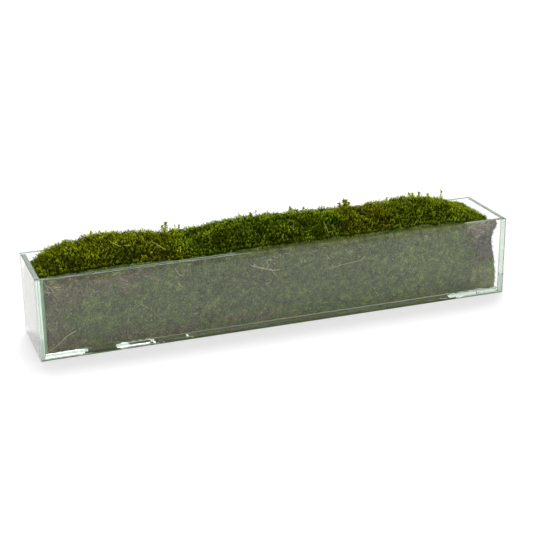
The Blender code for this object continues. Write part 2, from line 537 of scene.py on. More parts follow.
def box_faces(low, high, cell):
    """A closed box of small squares: its points, quads, and each quad's side as an outward axis."""
    counts = [max(1, round((b - a) / cell)) for a, b in zip(low, high)]
    points, quads, sides = [], [], []
    total = 0
    for axis in range(3):
        others = [k for k in range(3) if k != axis]
        for end in (0, 1):
            u = np.linspace(low[others[0]], high[others[0]], counts[others[0]] + 1)
            v = np.linspace(low[others[1]], high[others[1]], counts[others[1]] + 1)
            grid = np.zeros((len(u), len(v), 3))
            grid[..., others[0]] = u[:, None]
            grid[..., others[1]] = v[None, :]
            grid[..., axis] = (low, high)[end][axis]
            index = np.arange(grid.shape[0] * grid.shape[1]).reshape(grid.shape[:2]) + total
            a, b, c, d = index[:-1, :-1], index[1:, :-1], index[1:, 1:], index[:-1, 1:]
            outward = (end == 1) == (axis != 1)
            ring = (a, b, c, d) if outward else (a, d, c, b)
            quads.append(np.stack([r.ravel() for r in ring], 1))
            sides.append(np.full(len(quads[-1]), axis * 2 + end))
            points.append(grid.reshape(-1, 3))
            total += len(points[-1])
    points, quads, sides = np.concatenate(points), np.concatenate(quads), np.concatenate(sides)
    _, first, index = np.unique(np.round(points, 7), axis=0, return_index=True, return_inverse=True)
    return points[first], index.reshape(-1)[quads], sides


def triangles(quads):
    return np.concatenate([quads[:, [0, 1, 2]], quads[:, [0, 2, 3]]])


def spans(vertices, faces):
    """Each face's first corner, its edges from there to the others, and the cross product of the two."""
    a, b, c = (vertices[faces[:, k]] for k in range(3))
    return a, b - a, c - a, np.cross(b - a, c - a)


def surface_area(vertices, faces):
    return np.linalg.norm(spans(vertices, faces)[3], axis=1).sum() / 2


def scatter(vertices, faces, count, draw):
    """Random places on the faces by area, with each face's normal."""
    corner, first, second, cross = spans(vertices, faces)
    area = np.linalg.norm(cross, axis=1)
    pick = draw.choice(len(faces), count, p=area / area.sum())
    u, v = draw.random((2, count))
    over = u + v > 1
    u[over], v[over] = 1 - u[over], 1 - v[over]
    places = corner[pick] + first[pick] * u[:, None] + second[pick] * v[:, None]
    return places, unit(cross[pick])


def thinned(places, spacing):
    """The places that stay when each keeps its distance from those before it."""
    cells = {}
    keep = []
    keys = np.floor(places / spacing).astype(int)
    near = [(i, j, k) for i in (-1, 0, 1) for j in (-1, 0, 1) for k in (-1, 0, 1)]
    limit = spacing * spacing
    rows = places.tolist()
    for number, (key, (x, y, z)) in enumerate(zip(map(tuple, keys.tolist()), rows)):
        free = True
        for i, j, k in near:
            for px, py, pz in cells.get((key[0] + i, key[1] + j, key[2] + k), ()):
                if (px - x) ** 2 + (py - y) ** 2 + (pz - z) ** 2 < limit:
                    free = False
                    break
            if not free:
                break
        if free:
            cells.setdefault(key, []).append((x, y, z))
            keep.append(number)
    return np.array(keep)


def across_from(axis, angle):
    """A unit vector square to the axis, turned by the angle about it."""
    helper = np.where(np.abs(axis[..., 2:3]) < 0.9, [0.0, 0.0, 1.0], [1.0, 0.0, 0.0])
    first = unit(np.cross(axis, helper))
    second = np.cross(axis, first)
    return first * np.cos(angle)[..., None] + second * np.sin(angle)[..., None]


# How far every leaf stays from the end panes, and from the front and back panes.
LEAF_GAP_X, LEAF_GAP_Y = 0.0004, 0.0005


def put_leaves(
    heap, base, along, side, length, width, tip_low, tip_high, tint, brown, material, ribbed=False, cup=0.25
):
    """Leaves as folded kites: two faces each, or four with an arched rib."""
    up = np.cross(side, along)
    length, width = length[:, None], width[:, None]
    edge = base + along * length * 0.42 + up * width * cup
    left, right = edge + side * width / 2, edge - side * width / 2
    end = base + along * length - up * length * 0.10
    count = len(base)
    if ribbed:
        rib = base + along * length * 0.5 + up * length * 0.02
        vertices = np.stack([base, left, right, rib, end], 1)
        pattern = np.array([(0, 3, 1), (0, 2, 3), (1, 3, 4), (3, 2, 4)])
        steps = np.array([0.0, 0.45, 0.45, 0.5, 1.0])
    else:
        vertices = np.stack([base, left, right, end], 1)
        pattern = np.array([(0, 3, 1), (0, 2, 3)])
        steps = np.array([0.0, 0.45, 0.45, 1.0])
    size = vertices.shape[1]
    faces = (pattern[None] + np.arange(count)[:, None, None] * size).reshape(-1, 3)
    tip = tip_low[:, None] + (tip_high - tip_low)[:, None] * steps[None]
    spread = [np.repeat(np.broadcast_to(v, (count,)), size) for v in (tint, brown)]
    slots = np.repeat(np.broadcast_to(material, (count,)), len(pattern))
    vertices = vertices.reshape(-1, 3)
    limit_y = INSIDE_BACK - LEAF_GAP_Y
    vertices[:, 1] = np.clip(vertices[:, 1], -limit_y, limit_y)
    vertices[:, 0] = np.clip(vertices[:, 0], INSIDE_LEFT + LEAF_GAP_X, INSIDE_RIGHT - LEAF_GAP_X)
    heap.put(vertices, faces, tip.ravel(), *spread, slots)


def put_shoots(heap, roots, axes, height, crown, tint, vigour_and_shade, material, draw, leaves, feather):
    """Shoots of leaves round a stem: ball-like tufts, or feathers with two rows of leaves."""
    count = len(roots)
    turn = draw.random(count) * 2 * math.pi
    lean = across_from(axes, draw.random(count) * 2 * math.pi)
    slim = 0.46 if feather else 0.54
    for number in range(leaves):
        share = (number + 0.5) / leaves
        if feather:
            rise = 0.30 + 0.75 * share
            angle = turn + math.pi * number + draw.normal(0, 0.30, count)
            pitch = np.radians(22 + 40 * share + draw.normal(0, 10, count))
            reach = crown * (1.0 - 0.45 * share) * draw.uniform(0.8, 1.15, count)
            bend = (height * 0.45 * rise**2)[:, None] * lean
        else:
            rise = 0.30 + 0.70 * share
            angle = turn + GOLDEN_TURN * number + draw.normal(0, 0.25, count)
            pitch = np.radians(-18 + 92 * share + draw.normal(0, 10, count))
            reach = crown * (1.0 - 0.25 * share) * draw.uniform(0.75, 1.15, count)
            bend = (height * 0.15 * rise**2)[:, None] * lean
        base = roots + axes * (height * rise)[:, None] + bend
        out = across_from(axes, angle)
        along = unit(out * np.cos(pitch)[:, None] + axes * np.sin(pitch)[:, None])
        side = unit(np.cross(along, axes))
        # Lower leaves darker: partly older leaves, partly painted shade down among the shoots.
        low = (0.02 + 0.50 * share**1.5) * vigour_and_shade
        high = (0.24 + 0.76 * share) * vigour_and_shade
        put_leaves(heap, base, along, side, reach, reach * slim, low, high, tint, 0.0, material)


def skin(rings, sides):
    """The faces that join equal rings of points one after another, and close both ends."""
    faces = []
    for i in range(rings - 1):
        for j in range(sides):
            a, b = i * sides + j, i * sides + (j + 1) % sides
            faces += [(a, b, b + sides), (a, b + sides, a + sides)]
    last = (rings - 1) * sides
    for j in range(1, sides - 1):
        faces += [(0, j + 1, j), (last, last + j, last + j + 1)]
    return np.array(faces)


def tube(points, radius, sides=4):
    """A closed tube along the points, with one radius or a radius for each point."""
    points = np.asarray(points, float)
    direction = unit(np.gradient(points, axis=0))
    start = across_from(direction, np.zeros(len(points)))
    other = np.cross(direction, start)
    angle = np.arange(sides) * 2 * math.pi / sides
    radii = np.broadcast_to(radius, (len(points),))[:, None, None]
    ring = start[:, None] * np.cos(angle)[None, :, None] + other[:, None] * np.sin(angle)[None, :, None]
    return (points[:, None] + ring * radii).reshape(-1, 3), skin(len(points), sides)


def path_through(points, count, wobble, seed):
    """Places along a smooth line through the points, with a slight wobble."""
    points = np.asarray(points, float)
    steps = np.linspace(0, len(points) - 1, count)
    number = np.clip(np.floor(steps).astype(int), 0, len(points) - 2)
    share = (steps - number)[:, None]
    before = points[np.clip(number - 1, 0, None)]
    after = points[np.clip(number + 2, None, len(points) - 1)]
    a, b = points[number], points[number + 1]
    path = a + 0.5 * share * (
        b - before + share * (2 * before - 5 * a + 4 * b - after + share * (3 * a - before - 3 * b + after))
    )
    return path + wobble * np.stack([noise(path, 0.005, seed + k) for k in range(3)], 1)


def put_tube(heap, path, thick, thin, tint, material):
    """A stem or fibre along the path, thick at its start and thin at its end."""
    count = len(path)
    vertices, faces = tube(path, np.linspace(thick, thin, count))
    heap.put(vertices, faces, np.repeat(np.linspace(0.1, 1.0, count), 4), tint, 0.0, material)


# ---------------------------------------------------------------- moss pieces


# Where the brown underside of a mat faces the glass: middle x, middle z, half width, half height, and how
# brown it is, where 1 is brown and 2 is dried grey.
BROWN_PATCHES = (
    (-0.292, 0.050, 0.022, 0.060, 1.0),
    (-0.262, 0.083, 0.045, 0.016, 1.0),
    (-0.200, 0.088, 0.050, 0.010, 1.0),
    (-0.272, 0.016, 0.030, 0.012, 1.0),
    (-0.165, 0.014, 0.060, 0.009, 1.0),
    (0.278, 0.090, 0.029, 0.014, 1.7),
    (0.277, 0.064, 0.019, 0.020, 1.9),
    (0.276, 0.028, 0.026, 0.026, 0.45),
    (-0.050, 0.016, 0.040, 0.007, 1.0),
)
# Where the felt is lighter or darker: middle x, middle z, half width, half height, and by how much.
TONE_PATCHES = (
    (0.280, 0.026, 0.024, 0.024, 1.00),
    (0.273, 0.063, 0.014, 0.013, -0.55),
    (0.280, 0.091, 0.030, 0.015, 1.30),
    (-0.060, 0.060, 0.060, 0.022, -0.25),
    (0.190, 0.060, 0.060, 0.032, 0.42),
    (-0.245, 0.055, 0.020, 0.026, 0.20),
)

# The lower edge of the folded scrap at the upper right, as places (x, z), and how far the shadow painted
# below it reaches.
FOLD = (
    (0.249, 0.090),
    (0.2513, 0.086),
    (0.2543, 0.0836),
    (0.259, 0.0804),
    (0.265, 0.0776),
    (0.276, 0.0774),
    (0.288, 0.0770),
)
FOLD_SHADOW = 0.0013


def from_patch(points, shift, x, z, half_x, half_z):
    """How far the shifted points are from the middle of a patch, where 1 is its edge."""
    across = (points[:, 0] + shift[:, 0] - x) / half_x
    return np.hypot(across, (points[:, 2] + shift[:, 1] - z) / half_z)


def tone_at(points):
    """How much lighter or darker the felt is at each point, with a painted shadow along the scrap's fold."""
    shift = np.stack([noise(points, 0.008, 55 + k) for k in (0, 1)], 1) * 0.008
    total = np.zeros(len(points))
    for *patch, lift in TONE_PATCHES:
        total += lift * (1 - smooth_step(0.5, 1.3, from_patch(points, shift, *patch)))
    fold_x, fold_z = zip(*FOLD)
    below = points[:, 2] + 0.25 * shift[:, 1] - np.interp(points[:, 0], fold_x, fold_z)
    beside = smooth_step(fold_x[0] - 0.001, fold_x[0] + 0.001, points[:, 0])
    # The felt darkens along the fold line as a painted shadow under the scrap's lower edge.
    return total - 1.5 * beside * np.exp(-((below / FOLD_SHADOW) ** 2))


def brown_at(points):
    """How far the brown underside shows at each point: 0 is green, 1 brown, 2 dried grey."""
    shift = np.stack([noise(points, 0.010, 51 + k) for k in (0, 1)], 1) * 0.012
    shift += np.stack([noise(points, 0.004, 51 + k) for k in (2, 3)], 1) * 0.004
    best = np.zeros(len(points))
    for *patch, level in BROWN_PATCHES:
        best = np.maximum(best, level * (1 - smooth_step(0.55, 1.25, from_patch(points, shift, *patch))))
    return best


# The right edge of the moss at the front glass: height, and how far it falls short of the right end pane.
RIGHT_EDGE = (
    (0.006, 0.0050),
    (0.016, 0.0040),
    (0.030, 0.0052),
    (0.042, 0.0066),
    (0.052, 0.0080),
    (0.058, 0.0094),
    (0.066, 0.0112),
    (0.077, 0.0138),
    (0.084, 0.0098),
    (0.093, 0.0046),
    (0.0955, 0.0050),
    (0.1000, 0.0085),
)


def ragged_end(y, z):
    """How far the right end of the moss falls short of the right end pane, at each y and z."""
    places = np.stack([0 * y, y, z], 1)
    waves = 0.5 * noise(places, 0.006, 41) + 0.35 * noise(places, 0.0028, 42)
    heights, gaps = zip(*RIGHT_EDGE)
    return np.interp(z, heights, gaps) + 0.0012 * waves


# How steeply the top of the folded scrap falls back from the glass.
SCRAP_FALL = 0.45


def moss_body(name, top, settings, mats):
    """The block of moss behind the shoots, lumpy on top and creased on its sides."""
    low, high = (np.array(corner) for corner in NODE_BOXES[name])
    points, quads, sides = box_faces(low, high, mats.cell)
    share = (points[:, 2] - low[2]) / (high[2] - low[2])
    if name not in LOW_PIECES:
        roof = root_height(top, points[:, 0], points[:, 1], settings.lump, settings.seed)
        points[:, 2] = low[2] + share * (roof - low[2])
    middle_y = (low[1] + high[1]) / 2
    outer = name not in CLUMPS
    crease = np.clip(0.45 + 0.5 * noise(points, 0.0050, 31) + 0.35 * noise(points, 0.0022, 32), 0, 1.2)
    if outer:
        sign = np.sign(points[:, 1] - middle_y)
        face = np.abs(points[:, 1] - middle_y) > (high[1] - low[1]) / 2 - 1e-5
        glass_side = np.sign(middle_y) == sign
        points[:, 1] -= sign * face * glass_side * crease * mats.crease
    if name == "folded_scrap":
        points[:, 2] -= share * SCRAP_FALL * (points[:, 1] - low[1])
    near_floor = 1 - smooth_step(0.0, 0.002, points[:, 2] - low[2])
    if name != "folded_scrap":
        points[:, 2] += near_floor * crease * 0.0012
    if high[0] > INSIDE_RIGHT - 0.02 and outer:
        at_end = smooth_step(high[0] - 0.014, high[0], points[:, 0])
        edge = INSIDE_RIGHT - ragged_end(points[:, 1], points[:, 2])
        points[:, 0] += at_end * (edge - high[0])
    if low[0] < INSIDE_LEFT + 0.02:
        at_end = 1 - smooth_step(low[0], low[0] + 0.006, points[:, 0])
        clear = BEAD_WIDTH * smooth_step(0.034, 0.040, np.abs(points[:, 1]))
        points[:, 0] += at_end * (crease * mats.crease * 0.8 + clear)
    return points, quads, sides


def grow_moss(name, top, settings, mats, materials):
    """One piece of moss: its block, leaves pressed flat on its sides and shoots on its top."""
    draw = np.random.default_rng(settings.seed * 100 + MOSS_NODES.index(name))
    low, high = NODE_BOXES[name]
    points, quads, sides = moss_body(name, top, settings, mats)
    heap = Heap()
    tris = triangles(quads)
    tri_sides = np.concatenate([sides, sides])
    felt_slot = len(CLUMPS)
    brown = brown_at(points)
    body_tint = 0.5 * noise(points, 0.006, 61) + tone_at(points)
    tip = 0.32 + 0.20 * noise(points, 0.0040, 62) + 0.12 * noise(points, 0.0024, 63)
    slots = np.full(len(tris), felt_slot)
    upward = tri_sides == 5
    if name not in LOW_PIECES:
        middle = points[tris[upward]].mean(1)
        slots[upward] = sort_at(middle[:, 0], middle[:, 1])
        # The top of the block under the shoots takes the darkest foot colour, as painted shade between the
        # shoots.
        tip[np.unique(tris[upward])] = 0.03
    heap.put(points, tris, tip, body_tint, brown, slots)
    shown = np.zeros(len(tris), bool)
    if name in FRONT_MATS:
        shown |= tri_sides == 2
    if name in BACK_MATS:
        shown |= tri_sides == 3
    if name == "folded_scrap":
        shown |= tri_sides == 5
    if low.x < INSIDE_LEFT + 0.02:
        shown |= tri_sides == 0
    if high.x > INSIDE_RIGHT - 0.02:
        shown |= tri_sides == 1
    put_pressed_leaves(heap, points, tris[shown], mats, draw, felt_slot)
    if name not in LOW_PIECES:
        put_top(heap, name, points, tris[upward], settings, draw)
    piece = heap.make("moss_" + name, materials)
    lay_out_map(piece)
    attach(piece, "root")
    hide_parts(name)


# Usual distance between the leaves pressed on the glass.
PRESSED_SPACING = 0.0018


def put_pressed_leaves(heap, points, faces, mats, draw, slot):
    """Leaves and bits of stem lying nearly flat on the faces, as the glass presses them."""
    if not len(faces):
        return
    count = int(surface_area(points, faces) / PRESSED_SPACING**2 * (1.0))
    places, normals = scatter(points, faces, count, draw)
    angle = draw.random(count) * 2 * math.pi
    along = across_from(normals, angle)
    tilt = np.radians(draw.uniform(2, 24, count))[:, None]
    along = unit(along * np.cos(tilt) + normals * np.sin(tilt))
    side = unit(np.cross(along, normals))
    base = places + normals * draw.uniform(0.0001, 0.0011, count)[:, None]
    length = mats.leaf * draw.uniform(0.6, 1.35, count)
    width = length * draw.uniform(0.22, 0.42, count)
    brown = brown_at(places)
    low = draw.uniform(0.05, 0.45, count)
    high = low + draw.uniform(0.15, 0.5, count)
    tint = np.clip(draw.normal(0, 0.5, count) + tone_at(places), -1, 1.3)
    put_leaves(heap, base, along, side, length, width, low, high, tint, brown, slot, cup=0.12)


def put_top(heap, name, points, faces, settings, draw):
    """Shoots all over the top, of the sort that grows at each place."""
    spacing = settings.spacing * 1.0
    tries = int(surface_area(points, faces) / spacing**2 * TRIES)
    places, normals = scatter(points, faces, tries, draw)
    fine = sort_at(places[:, 0], places[:, 1]) == CLUMPS.index("clump_slope")
    keep = thinned(places[~fine], spacing) if (~fine).any() else np.zeros(0, int)
    groups = [np.flatnonzero(~fine)[keep]]
    if fine.any():
        groups.append(np.flatnonzero(fine)[thinned(places[fine], spacing * SLOPE_SPACING)])
    for group in groups:
        roots, normal = places[group], normals[group]
        sort = sort_at(roots[:, 0], roots[:, 1], draw.normal(0, 0.004, len(roots)))
        for number, clump in enumerate(CLUMPS):
            here = np.flatnonzero(sort == number)
            if not len(here):
                continue
            put_sort(heap, clump, number, roots[here], normal[here], settings, draw)


def put_sort(heap, clump, slot, roots, normals, settings, draw):
    """Shoots of one sort of moss at the roots: tufts, and feathers that lie lower."""
    count = len(roots)
    smooth = unit(normals + 0.7 * np.array([0, 0, 1.0]))
    axes = unit(smooth + draw.normal(0, 0.32, (count, 3)))
    tall = draw.random(count) < TALL_SHARE
    stretch = np.where(tall, draw.uniform(1.3, 1.7, count), draw.uniform(0.65, 1.2, count))
    height = SHOOT_HEIGHT[clump] * stretch
    crown = settings.crown * draw.uniform(0.75, 1.3, count)
    patch = noise(roots, 0.009, 81) + 0.5 * noise(roots, 0.020, 82)
    swell = swell_at(roots[:, 0], roots[:, 1], settings.seed)
    # The swell terms make tips paler on the swells and darker in the hollows: painted light and shade,
    # besides vigour and random tone.
    tint = np.clip(0.35 * patch + 0.25 * swell + draw.normal(0, 0.38, count), -1, 1)
    vigour_and_shade = 0.70 + 0.12 * patch + 0.19 * swell + 0.15 * tall + draw.normal(0, 0.20, count)
    vigour_and_shade = np.clip(vigour_and_shade, 0.25, 1.0)
    if clump == "clump_slope":
        axes = unit(smooth + draw.normal(0, 0.16, (count, 3)))
        crown = crown * SLOPE_CROWN
        put_shoots(heap, roots, axes, height, crown, tint, vigour_and_shade, slot, draw, SLOPE_LEAVES, False)
        return
    low = draw.random(count) < FEATHERS.get(clump, LEAST_FEATHERS)
    kinds = ((~low, TUFT_LEAVES, 1.0, 1.0), (low, FEATHER_LEAVES, FEATHER_HEIGHT, FEATHER_CROWN))
    for here, leaves, taller, wider in kinds:
        feather = leaves == FEATHER_LEAVES
        lean = axes[here]
        if feather:
            lean = unit(lean + draw.normal(0, 0.40, (here.sum(), 3)))
        sizes = height[here] * taller, crown[here] * wider
        put_shoots(heap, roots[here], lean, *sizes, tint[here], vigour_and_shade[here], slot, draw, leaves, feather)


# Stems that stand above the moss: clump, x, y, height of the tip, lean along x, leaves, length of a leaf.
SPRIGS = (
    ("clump_left", -0.1379, 0.0060, 0.1276, -0.0025, 26, 0.0036),
    ("clump_left", -0.1359, -0.0030, 0.1351, 0.0015, 34, 0.0038),
    ("clump_left", -0.1159, 0.0100, 0.1250, 0.0010, 18, 0.0030),
    ("clump_left", -0.1251, -0.0060, 0.1304, -0.0020, 14, 0.0028),
    ("clump_left", -0.2256, 0.0080, 0.1304, 0.0010, 18, 0.0032),
    ("clump_centre", -0.0428, -0.0050, 0.1350, -0.0040, 9, 0.0026),
    ("clump_centre", -0.0238, 0.0090, 0.1294, 0.0005, 20, 0.0036),
    ("clump_centre", -0.0185, 0.0020, 0.1342, 0.0022, 10, 0.0028),
    ("clump_centre", 0.0239, -0.0040, 0.1349, 0.0000, 24, 0.0038),
    ("clump_centre", 0.0468, 0.0100, 0.1273, 0.0010, 16, 0.0032),
    ("clump_olive", 0.0951, 0.0060, 0.1286, -0.0030, 30, 0.0038),
    ("clump_olive", 0.0985, 0.0000, 0.1345, -0.0005, 40, 0.0042),
    ("clump_olive", 0.1006, -0.0010, 0.1346, 0.0010, 34, 0.0040),
    ("clump_olive", 0.1092, 0.0100, 0.1269, 0.0030, 26, 0.0036),
    ("clump_right", 0.1548, -0.0060, 0.1324, 0.0010, 18, 0.0034),
    ("clump_right", 0.1920, 0.0070, 0.1307, -0.0050, 16, 0.0032),
    ("clump_right", 0.1924, -0.0030, 0.1334, -0.0010, 20, 0.0036),
    ("clump_right", 0.2085, 0.0100, 0.1288, 0.0020, 22, 0.0038),
    ("clump_right", 0.2175, 0.0030, 0.1283, 0.0010, 18, 0.0034),
    ("clump_right", 0.2311, -0.0070, 0.1333, 0.0020, 22, 0.0036),
)
# Long pale stems that lie on the moss: clump, and the places they pass.
STRANDS = (
    ("clump_left", ((-0.211, -0.018), (-0.206, -0.027), (-0.199, -0.033))),
    ("clump_left", ((-0.160, -0.029), (-0.154, -0.034), (-0.147, -0.039))),
    ("clump_left", ((-0.193, -0.032), (-0.189, -0.033), (-0.187, -0.033))),
    ("clump_left", ((-0.177, -0.043), (-0.1755, -0.042), (-0.176, -0.041))),
    ("clump_centre", ((0.058, -0.030), (0.059, -0.038), (0.060, -0.042))),
    ("clump_slope", ((0.253, -0.030), (0.2545, -0.031), (0.256, -0.030))),
)
# How deep a sprig stands in the moss, and how many loose stems lie on each clump.
SPRIG_ROOT = 0.006
LOOSE_STEMS = {"clump_left": 16, "clump_centre": 12, "clump_olive": 5, "clump_right": 7, "clump_slope": 1}
# Radii at the foot and at the tip.
SPRIG_RADII = (0.00042, 0.00030)
STRAND_RADII = (0.00040, 0.00028)
LOOSE_RADII = (0.00028, 0.00018)


def put_sprig(heap, foot, head, leaves, reach, draw, seed):
    """An upright stem with leaves on its upper half."""
    path = path_through([foot, (foot + head) / 2 + [0.0006, 0, 0], head], 7, 0.0005, seed)
    put_tube(heap, path, *SPRIG_RADII, draw.uniform(-0.8, 0.0), 1)
    share = np.linspace(0.40, 1.0, leaves)
    base = np.stack([np.interp(share, np.linspace(0, 1, 7), path[:, k]) for k in range(3)], 1)
    axes = np.repeat(unit(head - foot)[None], leaves, 0)
    out = across_from(axes, GOLDEN_TURN * np.arange(leaves) + draw.normal(0, 0.3, leaves))
    pitch = np.radians(-5 + 60 * share**3 + draw.normal(0, 14, leaves))[:, None]
    along = unit(out * np.cos(pitch) + axes * np.sin(pitch))
    length = 1.3 * reach * draw.uniform(0.7, 1.15, leaves)
    low = np.full(leaves, 0.22)
    high = draw.uniform(0.55, 1.0, leaves)
    side = unit(np.cross(along, axes))
    tint = draw.normal(0, 0.4, leaves)
    put_leaves(heap, base, along, side, length, length * 0.62, low, high, tint, 0.0, 0, ribbed=True)


def lay_stems(clump, top, settings, materials):
    """The sprigs and the loose pale stems of one clump, as one piece."""
    number = CLUMPS.index(clump)
    draw = np.random.default_rng(settings.seed * 100 + 40 + number)
    heap = Heap()
    for row, (owner, x, y, height, lean, leaves, reach) in enumerate(SPRIGS):
        if owner == clump:
            foot_z = top.at(np.array([x - lean]), np.array([y]))[0] - SPRIG_ROOT
            foot, head = np.array([x - lean, y, foot_z]), np.array([x, y, height])
            put_sprig(heap, foot, head, leaves, reach, draw, 200 + row)
    for row, (owner, places) in enumerate(STRANDS):
        if owner == clump:
            x, y = np.array(places).T
            points = np.stack([x, y, top.at(x, y) + 0.0004], 1)
            put_tube(heap, path_through(points, 12, 0.0004, 300 + row), *STRAND_RADII, 0.1, 1)
    low, high = NODE_BOXES[clump]
    for row in range(LOOSE_STEMS[clump]):
        x, y = draw.uniform(low.x + 0.006, high.x - 0.006), draw.uniform(-0.040, 0.040)
        angle, half = draw.uniform(0, math.pi), draw.uniform(0.0015, 0.0042)
        reach = np.array([-1.0, 0.0, 1.0]) * half
        xs, ys = x + reach * math.cos(angle), np.clip(y + reach * math.sin(angle), -0.0425, 0.0425)
        rise = np.array([-0.0016, 0.0002, -0.0008])
        points = np.stack([xs, ys, top.at(xs, ys) + rise], 1)
        path = path_through(points, 8, 0.0004, 400 + row)
        put_tube(heap, path, *LOOSE_RADII, draw.uniform(-1.0, 0.0), 1)
    piece = heap.make("stems_on_" + clump, [materials[number], materials[-1]])
    lay_out_map(piece)
    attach(piece, "root")


# What lies on the inside of the front glass, as places (x, z): a twig, a forked root with scraps of it, and
# pale bits of stem.
TWIG = ((-0.295, 0.009), (-0.283, 0.016), (-0.272, 0.025), (-0.260, 0.031))
ROOTS = (
    ((-0.0427, 0.0825), (-0.0351, 0.0799), (-0.0296, 0.0778), (-0.0222, 0.0758), (-0.0148, 0.0735)),
    ((-0.0158, 0.0738), (-0.0120, 0.0728), (-0.0073, 0.0733)),
    ((-0.0156, 0.0733), (-0.0137, 0.0699), (-0.0111, 0.0664)),
    ((-0.0405, 0.0850), (-0.0375, 0.0838), (-0.0351, 0.0808)),
    ((-0.0294, 0.0894), (-0.0277, 0.0908), (-0.0262, 0.0915)),
    ((-0.0230, 0.0856), (-0.0200, 0.0872), (-0.0165, 0.0880)),
    ((-0.0228, 0.0852), (-0.0200, 0.0815), (-0.0222, 0.0770)),
    ((-0.0142, 0.0905), (-0.0122, 0.0900), (-0.0100, 0.0886)),
    ((-0.0124, 0.0820), (-0.0119, 0.0813), (-0.0113, 0.0805)),
    ((0.0021, 0.0920), (0.0067, 0.0917), (0.0114, 0.0890)),
    ((-0.0186, 0.0627), (-0.0168, 0.0590), (-0.0200, 0.0568), (-0.0242, 0.0561)),
    ((-0.0409, 0.0621), (-0.0384, 0.0603), (-0.0363, 0.0568)),
)
ROOT_HAIRS = 46
HAIRY_ROOTS = (0, 0, 0, 1, 5, 6)
THICK_ROOTS = (0, 5, 8)
PALE_BITS = (
    ((-0.284, 0.090), (-0.280, 0.088), (-0.275, 0.088)),
    ((-0.293, 0.096), (-0.291, 0.088), (-0.289, 0.080)),
    ((-0.294, 0.086), (-0.291, 0.083), (-0.286, 0.083)),
    ((-0.292, 0.092), (-0.287, 0.089), (-0.284, 0.084)),
    ((-0.139, 0.095), (-0.134, 0.085), (-0.128, 0.081)),
    ((-0.135, 0.074), (-0.133, 0.070), (-0.130, 0.068)),
    ((-0.205, 0.090), (-0.200, 0.086), (-0.195, 0.083)),
    ((-0.191, 0.078), (-0.188, 0.077), (-0.185, 0.078)),
    ((-0.117, 0.031), (-0.115, 0.031), (-0.112, 0.030)),
    ((-0.054, 0.026), (-0.052, 0.026), (-0.049, 0.025)),
    ((0.021, 0.082), (0.023, 0.080), (0.022, 0.076)),
    ((0.057, 0.084), (0.058, 0.080), (0.060, 0.077)),
    ((0.031, 0.090), (0.036, 0.088), (0.041, 0.085)),
    ((0.087, 0.086), (0.089, 0.084), (0.091, 0.083)),
    ((0.123, 0.026), (0.126, 0.022), (0.128, 0.018)),
    ((0.059, 0.064), (0.073, 0.067), (0.089, 0.069), (0.101, 0.070), (0.108, 0.074)),
)
SMALL_BITS = 150
# Radii at the start and at the end; a root starts thick or thin, and both sorts end alike.
TWIG_RADII = (0.00046, 0.00040)
THICK_ROOT, THIN_ROOT, ROOT_END = 0.00062, 0.00034, 0.00028
HAIR_RADII = (0.00026, 0.00014)
PALE_RADII = (0.00042, 0.00028)
JOINT_RADII = (0.00050, 0.00046)
GLASS_BIT_Y = INSIDE_FRONT + 0.00045
# Where the damp underside of the moss wets the base pane: from and to along the trough, then across it.
WET_PATCHES = (
    (-0.2430, -0.2085, INSIDE_FRONT, 0.030),
    (-0.1920, -0.1655, -0.012, 0.012),
    (-0.1610, -0.1565, INSIDE_FRONT, 0.030),
    (-0.1565, -0.1535, -0.014, 0.012),
    (-0.1535, -0.1205, INSIDE_FRONT, 0.030),
    (-0.1205, -0.1175, INSIDE_FRONT, -0.014),
    (-0.1175, 0.2385, INSIDE_FRONT, 0.030),
)
# Where the damp edge of the moss wets the front pane: from and to along the trough, and how far below the rim
# it starts. All of it ends WET_RIM_DEPTH below the rim.
WET_RIM = ((-0.293, -0.060, 0.0042), (-0.060, 0.250, 0.0003))
WET_RIM_DEPTH = 0.0082
# How far the damp moss reaches into the glass, so that no air is left between them.
WETTED = 0.00016
# The dry bits between the wet patches: how many, and from and to along and across the trough.
DRY_BITS = 16
DRY_BITS_X, DRY_BITS_Y = (-0.160, -0.050), (-0.038, -0.010)


